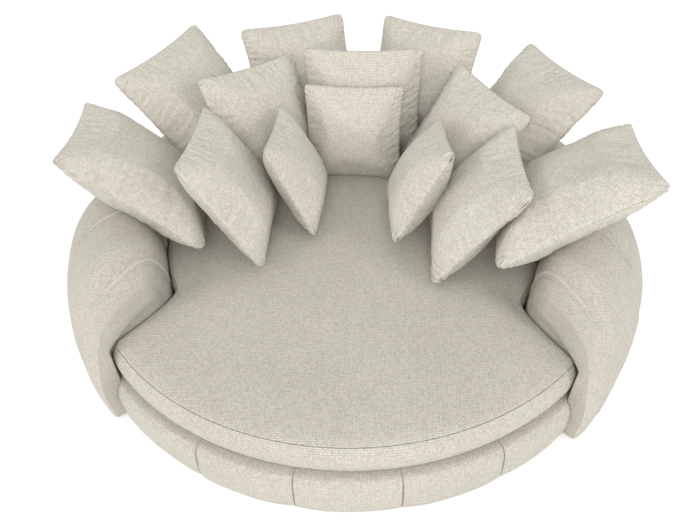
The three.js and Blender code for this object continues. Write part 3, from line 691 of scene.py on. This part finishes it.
def swollen(size):
    """How far the filling's pressure moves each point of a cushion's two faces: a sewn pair of sheets,
    slimmer than the cushion and a little larger than its seam, is simulated as cloth and its moves are
    capped. Returns the moves of the front and the back, each on the grid of the sheets."""
    c = cushions()
    side, thick = size
    n = c.steps + 1
    _, _, x, y, z = pillow_sheets(side, thick * c.slimness, c.steps)
    front = np.arange(n * n).reshape(n, n)
    back = front.copy()
    back[1:-1, 1:-1] = n * n + np.arange((n - 2) ** 2).reshape(n - 2, n - 2)
    uneven = 0.0016 * waves_over(x, y, 77, (0.018, 0.045)) * np.minimum(1, z / 0.01)
    sheets = [np.stack([x, y, face * (z + uneven)], axis=-1) for face in (1, -1)]
    points = np.concatenate([sheets[0].reshape(-1, 3), sheets[1][1:-1, 1:-1].reshape(-1, 3)])
    quads = np.concatenate([
        np.stack([f[:-1, :-1], f[:-1, 1:], f[1:, 1:], f[1:, :-1]], axis=-1).reshape(-1, 4)[:, ::order]
        for f, order in ((front, 1), (back, -1))
    ])
    mesh = bpy.data.meshes.new("sewn_sheets")
    mesh.from_pydata(points.tolist(), [], quads.tolist())
    sewn = bpy.data.objects.new("sewn_sheets", mesh)
    bpy.context.scene.collection.objects.link(sewn)
    seam = sewn.vertex_groups.new(name="seam")
    seam.add(np.concatenate([front[0], front[-1], front[:, 0], front[:, -1]]).tolist(), 1.0, "REPLACE")
    filling = sewn.modifiers.new("Filling", "CLOTH")
    filling.settings.vertex_group_mass = "seam"
    filling.settings.use_pressure = True
    filling.settings.uniform_pressure_force = c.pressure
    filling.settings.effector_weights.gravity = 0
    filling.settings.shrink_min = -c.spare_cloth
    filling.settings.bending_stiffness = 0.6
    filling.settings.tension_stiffness = filling.settings.compression_stiffness = 15
    filling.collision_settings.use_collision = False
    filling.point_cache.frame_end = c.frames
    for moment in range(1, c.frames + 1):
        bpy.context.scene.frame_set(moment)
    made = sewn.evaluated_get(bpy.context.evaluated_depsgraph_get()).data
    ended = np.empty(len(points) * 3, np.float32)
    made.vertices.foreach_get("co", ended)
    bpy.data.objects.remove(sewn)
    bpy.data.meshes.remove(mesh)
    bpy.context.scene.frame_set(1)
    moves = ended.reshape(-1, 3) - points
    far = np.linalg.norm(moves, axis=1, keepdims=True)
    moves *= np.minimum(1, c.swell_cap / np.maximum(far, 1e-6))
    return moves[front], moves[back]


def pillow_mesh(name, size, seed, swell=None):
    """A cushion's two faces with the filling's swell, gathers along the seams, soft dents and a fuller
    foot, sewn at the edge. Every cushion of a size takes the same swell turned or mirrored its own way."""
    c = cushions()
    side, thick = size
    u, v, x, y, z = pillow_sheets(side, thick, c.steps)
    half = side / 2
    side_gap, end_gap = half * (1 - np.abs(u)), half * (1 - np.abs(v))
    near = np.minimum(side_gap, end_gap)
    grids = []
    for face in (1, -1):
        move = np.zeros(x.shape + (3,))
        if swell is not None:
            move = swell[0] if (face > 0) == (seed % 2 == 0) else swell[1]
            move = move * (1, 1, 1 if seed % 2 == 0 else -1)
            if seed % 4 > 1:
                move = move[:, ::-1] * (-1, 1, 1)
            if seed % 3 == 1:
                move = move[::-1] * (1, -1, 1)
        draw = 100 + 60 * seed + 25 * face
        gather = 0 * u
        for gap, along, across, n in ((side_gap, y, v, 0), (end_gap, x, u, 1)):
            rise = (1 - np.exp(-gap / 0.007)) * np.exp(-((gap / 0.048) ** 1.5))
            patchy = np.maximum(0, 0.5 + 0.8 * waves(along, draw + 9 + n, (0.12, 0.4), 4))
            patchy = (0.35 + 0.65 * across**2) * patchy
            gather = gather + c.pucker * rise * patchy * waves(along + 0.3 * gap, draw + n, (0.017, 0.030))
        dents = c.dents * waves_over(x, y, draw + 20, (0.16, 0.5)) * (z / (thick / 2)) ** 0.7
        sag = 1 - 0.05 * v
        start = 1.0 if swell is None else c.slimness
        full = face * (z * sag * start + gather + dents) + move[..., 2]
        sheet = np.stack([x + move[..., 0], y + move[..., 1], full], axis=-1)
        wound = []
        for axis in (1, 0):
            run = np.linalg.norm(np.diff(sheet, axis=axis), axis=-1).cumsum(axis=axis)
            run = np.insert(run, 0, 0, axis=axis)
            wound.append(run - np.take(run, [c.steps // 2], axis=axis))
        grids.append((sheet, np.stack([wound[0] + seed, wound[1], near], axis=-1), False))
    return mesh_of(name, grids)


def ring_top(radius, angle):
    """Height of the ring's upper surface at a radius and an angle."""
    profile = ring_profile()
    rise = profile[: int(np.argmax(profile[:, 0])) + 1]
    height = np.interp(radius, rise[:, 0], rise[:, 1], left=0)
    left = np.interp(radius, rise[:, 0], rise[:, 2])
    return height * lerp(1, left, smooth_step(np.abs(angle), *FALL))


def pressed(points):
    """Points of a cushion that lie in the seat are lifted onto it. Those in the ring leave it by the
    shortest way out of a sloping surface, worked out from the way up and the way inwards."""
    radius = np.hypot(points[:, 0], points[:, 1])
    angle = np.degrees(np.arctan2(points[:, 0], -points[:, 1]))
    lift = np.where(radius < seat_reach(angle), seat_top(radius, angle) + SEAT_GAP - points[:, 2], 0)
    lift = np.maximum(lift, 0) * (1 - smooth_step(lift, 0.04, 0.08))
    in_ring = (radius > ring().inner_radius) & (radius < ring().wide_radius) & (np.abs(angle) > 56)
    inwards = np.linspace(0, 0.12, 21)
    over = np.array([ring_top(radius - step, angle) + RING_GAP - points[:, 2] for step in inwards])
    out_at = np.argmax(over < 0, axis=0)
    in_at = np.maximum(out_at - 1, 0)
    before, after = (np.take_along_axis(over, i[None], 0)[0] for i in (in_at, out_at))
    way_in = inwards[in_at] + inwards[1] * before / np.maximum(before - after, 1e-6)
    way_in = np.where(out_at > 0, way_in, 0)
    way_up = np.maximum(over[0], 0)
    way_in = np.where((over < 0).any(axis=0), way_in, 1.0)
    weight = in_ring * (way_up > 0) / np.maximum(way_in**2 + way_up**2, 1e-9)
    moved = points.copy()
    moved[:, 2] += np.maximum(lift, way_up * way_in**2 * weight)
    moved[:, :2] *= (1 - way_in * way_up**2 * weight / np.maximum(radius, 1e-6))[:, None]
    return moved


def give_way(cushion, others):
    """Where a cushion runs into others it gives way along their thickness: by half the depth where it is
    thick itself and by all of it at its own edge, and by nothing at the other's middle plane."""
    c = cushions()
    points, thin = cushion["points"], cushion["thickness"]
    moved = points.copy()
    for other in others:
        side, thick = other["size"]
        half = side / 2 * c.growth
        local = (points - other["foot"]) @ other["axes"]
        u, v = local[:, 0] / half, (local[:, 1] - side / 2) / half
        crown = (np.maximum(0, 1 - u * u) * np.maximum(0, 1 - v * v)) ** c.roundness
        depth = thick / 2 * c.growth * crown + CUSHION_GAP - np.abs(local[:, 2])
        depth = np.where(crown > 0, np.maximum(0, depth), 0)
        share = lerp(1.0, 0.5, smooth_step(thin, 0.02, 0.06)) * np.tanh(local[:, 2] / 0.012)
        moved += (depth * share)[:, None] * other["axes"][:, 2]
    return moved


def stood(mesh, name, size, turn, lean, roll, around, out_share):
    """A cushion turned as it stands, with its foot on the seat's plan, and its lowest point where the CAD's
    cushion has its own."""
    axes = np.array(turned(turn, 90 - lean, roll))
    _, _, x, y, z = pillow_sheets(*size, 24)
    sheets = np.concatenate([np.stack([x, y, face * z], axis=-1).reshape(-1, 3) for face in (1, -1)])
    foot = polar(seat().back_radius * out_share, 180 + around, 0.0)
    foot[2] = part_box(name)[0].z - (sheets @ axes.T)[:, 2].min()
    points = np.empty(len(mesh.vertices) * 3, np.float32)
    mesh.vertices.foreach_get("co", points)
    points = points.reshape(-1, 3).astype(float)
    return {
        "name": name, "mesh": mesh, "size": size, "axes": axes, "foot": foot,
        "thickness": np.abs(points[:, 2]), "points": points @ axes.T + foot,
    }


# Deck


def band_mesh(name, low, high):
    """A woven strap: a flat pad whose faces round over at the edges by the fourth root of one less the
    sixteenth powers of both coordinates."""
    middle, half = (low + high) / 2, (high - low) / 2
    line = np.sin(math.pi / 2 * np.linspace(-1, 1, 41))
    u, v = np.meshgrid(line, line)
    rise = (np.maximum(0, 1 - u**16) * np.maximum(0, 1 - v**16)) ** 0.25
    grids = []
    for face in (1, -1):
        grid = middle + half * np.stack([u, v, face * rise], axis=-1)
        along, across = (u * half[0], v * half[1]) if half[0] > half[1] else (v * half[1], u * half[0])
        edge = min(half[0], half[1]) - np.abs(across)
        grids.append((grid, np.stack([along, across, edge], axis=-1), False))
    return mesh_of(name, grids)


def disc_mesh(name, reach, angles, low, high):
    """A flat cloth with a curved plan: its two faces and its edge as one profile carried round."""
    share = np.linspace(0, 1, 14)
    out = np.concatenate([share, share[::-1]])
    height = np.concatenate([np.full(14, low), np.full(14, high)])
    radius = out[:, None] * reach[None, :]
    grid = polar(radius, angles[None, :], height[:, None])
    cloth = np.stack([grid[..., 0], grid[..., 1], reach[None, :] - radius], axis=-1)
    return mesh_of(name, [(grid, cloth, True)], weld=1e-5)


def plan_area(reach, angles):
    """Area inside a plan given by its radius at even angles: half the sum of neighbouring radii's products
    times the sine of the step."""
    step = math.radians(360 / len(angles))
    return float(0.5 * np.sum(reach * np.roll(reach, 1)) * math.sin(step))


# Finishes


class Term:
    """A socket of a node graph, so that shader maths reads as an expression."""

    def __init__(self, graph, socket):
        self.graph, self.socket = graph, socket

    def maths(self, operation, *values):
        return self.graph.node("ShaderNodeMath", {"operation": operation}, dict(enumerate(values)))

    def __add__(self, other):
        return self.maths("ADD", self, other)

    def __radd__(self, other):
        return self.maths("ADD", other, self)

    def __sub__(self, other):
        return self.maths("SUBTRACT", self, other)

    def __rsub__(self, other):
        return self.maths("SUBTRACT", other, self)

    def __mul__(self, other):
        return self.maths("MULTIPLY", self, other)

    def __rmul__(self, other):
        return self.maths("MULTIPLY", other, self)

    def __truediv__(self, other):
        return self.maths("DIVIDE", self, other)

    def __pow__(self, other):
        return self.maths("POWER", self, other)

    def sine(self):
        return self.maths("SINE", self)

    def size(self):
        return self.maths("ABSOLUTE", self)

    def floor(self):
        return self.maths("FLOOR", self)

    def above(self, least):
        return self.maths("MAXIMUM", self, least)

    def below(self, most):
        return self.maths("MINIMUM", self, most)


class Graph:
    """The nodes of one material, with a principled shader at the end."""

    def __init__(self, name):
        self.material = bpy.data.materials.new(name)
        self.material.use_nodes = True
        self.tree = self.material.node_tree
        self.shader = self.tree.nodes["Principled BSDF"]

    def node(self, kind, settings=None, inputs=None, output=0):
        made = self.tree.nodes.new(kind)
        for setting, value in (settings or {}).items():
            setattr(made, setting, value)
        for key, value in (inputs or {}).items():
            self.feed(made.inputs[key], value)
        return Term(self, made.outputs[output])

    def feed(self, socket, value):
        if isinstance(value, Term):
            self.tree.links.new(value.socket, socket)
        else:
            socket.default_value = value

    def finish(self, **inputs):
        for key, value in inputs.items():
            self.feed(self.shader.inputs[key.replace("_", " ")], value)
        return self.material

    def cloth(self):
        along = self.node("ShaderNodeAttribute", {"attribute_name": "cloth"}, output="Vector")
        return [self.node("ShaderNodeSeparateXYZ", None, {0: along}, output=i) for i in range(3)]

    def place(self):
        return self.node("ShaderNodeTexCoord", output="Object")

    def vector(self, x, y):
        return self.node("ShaderNodeCombineXYZ", None, {0: x, 1: y})

    def noise(self, vector, scale, detail=2.0, roughness=0.5):
        inputs = {"Vector": vector, "Scale": scale, "Detail": detail, "Roughness": roughness}
        return self.node("ShaderNodeTexNoise", None, inputs)

    def mix(self, share, a, b):
        settings = {"data_type": "RGBA", "clamp_factor": True}
        return self.node("ShaderNodeMix", settings, {0: share, 6: (*a, 1), 7: (*b, 1)}, output=2)

    def bump(self, height, distance, strength):
        inputs = {"Height": height, "Distance": distance, "Strength": strength}
        return self.node("ShaderNodeBump", None, inputs)


def shaded(base, factor):
    """A colour made paler or darker."""
    return tuple(min(1, c * factor) for c in base)


def basket_weave(name, light, deep, pitch, relief):
    """Upholstery cloth: pairs of yarns that pass over and under each other in blocks, each block of its own
    tone, with slubs along the yarns, a darker dotted line where it is sewn and a painted pale highlight on
    the lip where it is folded."""
    if name in bpy.data.materials:
        return bpy.data.materials[name]
    sewn_width, lip_highlight_width, stitch = 0.0024, 0.0036, 0.0045
    g = Graph(name)
    x, y, seam = g.cloth()
    wander = g.noise(g.vector(x, y), 22.0) - 0.5
    x, y = x + wander * (pitch * 0.8), y - wander * (pitch * 0.8)
    a, b = x / pitch, y / pitch
    over = (a * math.pi).sine() * (b * math.pi).sine()
    block = g.node("ShaderNodeTexWhiteNoise", None, {"Vector": g.vector(a.floor(), b.floor())})
    raised_pairs = (a * (2 * math.pi)).sine() * over.above(0.0)
    sunk_pairs = (b * (2 * math.pi)).sine() * (0 - over).above(0.0)
    strands = (raised_pairs + sunk_pairs) * 0.25
    slubs = g.noise(g.vector(x * 0.22, y), 210.0) * 0.5 + g.noise(g.vector(x, y * 0.22), 210.0) * 0.5
    raised = over.size() ** 0.6 * 0.62 + over * 0.12 + strands * 0.3 + block * 0.3 + (slubs - 0.5) * 0.6
    tone = g.noise(g.place(), 3.2, 3.0) - 0.5
    sewn = 1 - (seam / sewn_width).below(1.0)
    # painted highlight: a pale line along the lip of a folded seam, standing in for the light its fold
    # catches
    lip = 1 - ((seam - FOLD_HIGHLIGHT_OFFSET).size() / lip_highlight_width).below(1.0)
    stitches = ((x + y) * (math.pi / stitch)).sine() * 0.35 + 0.65
    shade = raised * 1.3 - 0.12 + tone * 0.22 - sewn * stitches * 0.4 + lip * 0.55
    height = raised - sewn * 1.2
    return g.finish(
        Base_Color=g.mix(shade, deep, light),
        Roughness=(0.96 - raised * 0.08).below(1.0),
        Normal=g.bump(height, relief, 1.0),
        Sheen_Weight=0.12,
        Sheen_Roughness=0.6,
        Specular_IOR_Level=0.25,
    )


def sawn_timber(name, base):
    """Board: long grain lines that wander, with pale and dark growth bands and fine pores."""
    g = Graph(name)
    at = g.place()
    along_grain = g.node("ShaderNodeMapping", None, {"Vector": at, "Scale": (1.2, 9.0, 9.0)})
    rings = g.noise(along_grain, 4.0, 6.0, 0.62)
    pores = g.noise(g.node("ShaderNodeMapping", None, {"Vector": at, "Scale": (8.0, 90.0, 90.0)}), 5.0)
    bands = ((rings * 42.0).sine() * 0.5 + 0.5) * 0.6 + pores * 0.4
    return g.finish(
        Base_Color=g.mix(bands, shaded(base, 0.62), shaded(base, 1.18)),
        Roughness=0.62 + pores * 0.2,
        Normal=g.bump(bands, 0.0004, 0.6),
    )


def open_foam(name, base):
    """Cut foam: small open cells."""
    g = Graph(name)
    cells = g.node("ShaderNodeTexVoronoi", None, {"Vector": g.place(), "Scale": 420.0})
    soft = g.noise(g.place(), 9.0, 3.0)
    return g.finish(
        Base_Color=g.mix(cells * 1.2, shaded(base, 0.7), base),
        Roughness=0.9 + soft * 0.1,
        Normal=g.bump(cells, 0.0006, 0.8),
    )


def woven_strap(name, base):
    """Elastic webbing: a close rib across the strap and paler lines along its edges."""
    g = Graph(name)
    along, across, edge = g.cloth()
    rib = (along * (math.pi / 0.0016)).sine().size()
    cords = (across * (math.pi / 0.0035)).sine() * 0.5 + 0.5
    line = 1 - ((edge - 0.008).size() / 0.002).below(1.0)
    return g.finish(
        Base_Color=g.mix(rib * 0.25 + line * 0.6 + cords * 0.1, base, shaded(base, 5)),
        Roughness=0.82 + rib * 0.12,
        Normal=g.bump(rib * 0.6 + cords * 0.4, 0.0006, 0.8),
    )


def lining_cloth(name, base):
    """Thin black lining: a dimpled bonded cloth with a faint uneven tone."""
    g = Graph(name)
    x, y, _ = g.cloth()
    dimples = (x * (math.pi / 0.0022)).sine() * (y * (math.pi / 0.0022)).sine()
    soft = g.noise(g.place(), 14.0, 4.0)
    return g.finish(
        Base_Color=g.mix(dimples * 0.3 + soft * 0.6, base, shaded(base, 2.6)),
        Roughness=0.84 + soft * 0.12,
        Normal=g.bump(dimples * 0.6 + soft * 0.4, 0.0004, 0.7),
    )


def moulded_plastic(name, base):
    """Moulded plastic with a fine spark-eroded grain."""
    g = Graph(name)
    grain = g.noise(g.place(), 900.0)
    wear = g.noise(g.place(), 60.0, 3.0)
    return g.finish(
        Base_Color=g.mix(wear, base, shaded(base, 2.2)),
        Roughness=0.42 + wear * 0.18,
        Normal=g.bump(grain, 0.0002, 0.5),
    )


def fabric_of_sofa():
    f = finishes()
    return basket_weave("sofa_weave", f.weave_light, f.weave_deep, f.weave_pitch, 0.0022)


def fabric_of_cushions():
    f = finishes()
    return basket_weave("cushion_weave", f.pillow_light, f.pillow_deep, f.weave_pitch * 0.92, 0.0020)


# Operators


class PieceOperator:
    bl_options = {"REGISTER", "UNDO"}


class SOFA_OT_ring(PieceOperator, bpy.types.Operator):
    """Build the padded ring: the arms' ends, the arms and the four lengths of the back"""

    bl_idname = "round_sofa.ring"
    bl_label = "Padded Ring"

    def execute(self, context):
        upholster(ring_meshes())
        return {"FINISHED"}


class SOFA_OT_rail(PieceOperator, bpy.types.Operator):
    """Build the five padded panels of the front rail"""

    bl_idname = "round_sofa.rail"
    bl_label = "Front Rail"

    def execute(self, context):
        upholster(rail_meshes())
        return {"FINISHED"}


class SOFA_OT_seat(PieceOperator, bpy.types.Operator):
    """Build the loose seat cushion: its boxed cover and the foam in it"""

    bl_idname = "round_sofa.seat"
    bl_label = "Seat Cushion"

    def execute(self, context):
        fabric = seat_mesh("seat_cushion_fabric")
        cover = add_piece(fabric, "seat_cushion", "weave", fabric_of_sofa(), "seat_cushion_cover")
        wall = cover.modifiers.new("Cloth wall", "SOLIDIFY")
        wall.thickness, wall.offset = seat().cover_thickness, -1
        block = seat_mesh("seat_foam_block", seat().foam_gap, 180, True)
        cells = open_foam("seat_foam", finishes().foam)
        foam = add_piece(block, "seat_cushion", "foam", cells, "seat_foam_core")
        return {"FINISHED"}


class SOFA_OT_pillows(PieceOperator, bpy.types.Operator):
    """Build the fourteen scatter cushions"""

    bl_idname = "round_sofa.pillows"
    bl_label = "Scatter Cushions"

    def execute(self, context):
        swells = {size: swollen(size) for size in (LARGE, MEDIUM, SMALL)}
        standing = []
        for seed, (name, size, *stand) in enumerate(PILLOWS):
            mesh = pillow_mesh(f"{name}_padding", size, seed, swells.get(size))
            standing.append(stood(mesh, name, size, *stand))
        for cushion in standing:
            mesh, name = cushion["mesh"], cushion["name"]
            placed = pressed(give_way(cushion, [other for other in standing if other is not cushion]))
            mesh.vertices.foreach_set("co", placed.astype(np.float32).ravel())
            mesh.update()
            add_piece(mesh, name, "pillow", fabric_of_cushions(), name)
        return {"FINISHED"}


class SOFA_OT_deck(PieceOperator, bpy.types.Operator):
    """Build the webbing and the two black cloths, under the seat and under the base"""

    bl_idname = "round_sofa.deck"
    bl_label = "Webbing and Cloths"

    def execute(self, context):
        strap = woven_strap("elastic_webbing", finishes().webbing)
        names = [*(f"webbing_across_{i}" for i in (1, 2, 3)), "webbing_long_1", "webbing_long_2"]
        straps = []
        for name in names:
            low, high = (np.array(corner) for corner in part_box(name))
            band = band_mesh(f"{name}_strap", low, high)
            straps.append(add_piece(band, "sofa_body", "webbing", strap, name))
        lining = lining_cloth("black_lining", finishes().lining)
        angles = np.arange(0, 360, 1.5)
        for node, reach, rests in (
            ("deck_cloth", rounded_reach(angles) - DECK_MARGIN, straps),
            ("dust_cover", DUST_COVER_RADIUS + 0 * angles, ["base_board_left", "base_board_right"]),
        ):
            low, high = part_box(node)
            sheet = disc_mesh(f"{node}_sheet", reach, angles, low.z, high.z)
            cloth = add_piece(sheet, "sofa_body", "cloth", lining, node)
            flat = tuple(np.ptp(polar(reach, angles, 0.0)[:, :2], axis=0))
            area = plan_area(reach, angles)
        return {"FINISHED"}


class SOFA_OT_frame(PieceOperator, bpy.types.Operator):
    """Finish the timber frame, the base boards and the glides"""

    bl_idname = "round_sofa.frame"
    bl_label = "Frame and Glides"

    def execute(self, context):
        timber = sawn_timber("sawn_timber", finishes().timber)
        plastic = moulded_plastic("glide_plastic", finishes().plastic)
        for name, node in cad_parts.items():
            if node.hide_render:
                continue  # an upholstered piece stands for it
            material = plastic if name.startswith("glide") else timber
            for slot in node.material_slots:
                slot.material = material
            if not node.material_slots:
                node.data.materials.append(material)
        return {"FINISHED"}


class SOFA_OT_stage(PieceOperator, bpy.types.Operator):
    """Set the pale floor, the soft studio light and the camera"""

    bl_idname = "round_sofa.stage"
    bl_label = "Stage"

    def execute(self, context):
        choices = context.scene.round_sofa_stage
        g = Graph("studio_floor")
        cloudy = g.noise(g.place(), 1.5) - 0.5
        pale = tuple(choices.floor)
        tone = g.mix(cloudy * 0.1 + 0.5, shaded(pale, 0.99), pale)
        x, y = np.meshgrid((-FLOOR_REACH, 0, FLOOR_REACH), (-FLOOR_REACH, 0, FLOOR_REACH))
        plane = mesh_of("studio_floor", [(np.stack([x, y, 0 * x], axis=-1), np.zeros(3), False)])
        plane.materials.append(g.finish(Base_Color=tone, Roughness=0.9))
        floor = bpy.data.objects.new("studio_floor", plane)
        context.scene.collection.objects.link(floor)
        world = bpy.data.worlds.new("studio_surround")
        world.use_nodes = True
        background = world.node_tree.nodes["Background"].inputs
        background["Color"].default_value = (1.0, 0.995, 0.985, 1)
        background["Strength"].default_value = choices.sky
        context.scene.world = world
        for name, power, size, at in LIGHTS:
            data = bpy.data.lights.new(name, "AREA")
            data.energy, data.size, data.shape = getattr(choices, power), size, "DISK"
            light = bpy.data.objects.new(name, data)
            light.location = at
            light.rotation_euler = (SEAT_MIDDLE - Vector(at)).to_track_quat("-Z", "Y").to_euler()
            context.scene.collection.objects.link(light)
        camera = bpy.data.objects.new("studio_camera", bpy.data.cameras.new("studio_camera"))
        camera.data.lens, camera.data.sensor_width, camera.data.dof.use_dof = choices.lens, 36.0, False
        camera.data.clip_end = 100
        camera.matrix_world = Matrix.Translation(CAMERA_PLACE) @ turned(*CAMERA_TURN).to_4x4()
        context.scene.collection.objects.link(camera)
        context.scene.camera = camera
        context.scene.view_settings.view_transform = "Standard"
        return {"FINISHED"}


OPERATORS = (
    SOFA_OT_ring, SOFA_OT_rail, SOFA_OT_seat, SOFA_OT_pillows, SOFA_OT_deck, SOFA_OT_frame, SOFA_OT_stage,
)
GROUPS = {
    "round_sofa_ring": RingSizes,
    "round_sofa_seat": SeatSizes,
    "round_sofa_pillows": PillowSizes,
    "round_sofa_finishes": FinishChoices,
    "round_sofa_stage": StageChoices,
}


class VIEW3D_PT_round_sofa(bpy.types.Panel):
    """The pieces of the round sofa"""

    bl_label = "Round Sofa"
    bl_space_type = "VIEW_3D"
    bl_region_type = "UI"
    bl_category = "Round Sofa"

    def draw(self, context):
        for operator in OPERATORS:
            self.layout.operator(operator.bl_idname)


CLASSES = (*GROUPS.values(), *OPERATORS, VIEW3D_PT_round_sofa)


def register():
    for cls in CLASSES:
        bpy.utils.register_class(cls)
    for name, group in GROUPS.items():
        setattr(bpy.types.Scene, name, PointerProperty(type=group))


def unregister():
    for name in GROUPS:
        delattr(bpy.types.Scene, name)
    for cls in reversed(CLASSES):
        bpy.utils.unregister_class(cls)


def main():
    register()
    bpy.ops.round_sofa.ring()
    bpy.ops.round_sofa.rail()
    bpy.ops.round_sofa.seat()
    bpy.ops.round_sofa.pillows()
    bpy.ops.round_sofa.deck()
    bpy.ops.round_sofa.frame()
    bpy.ops.round_sofa.stage()


if __name__ == "__main__":
    main()
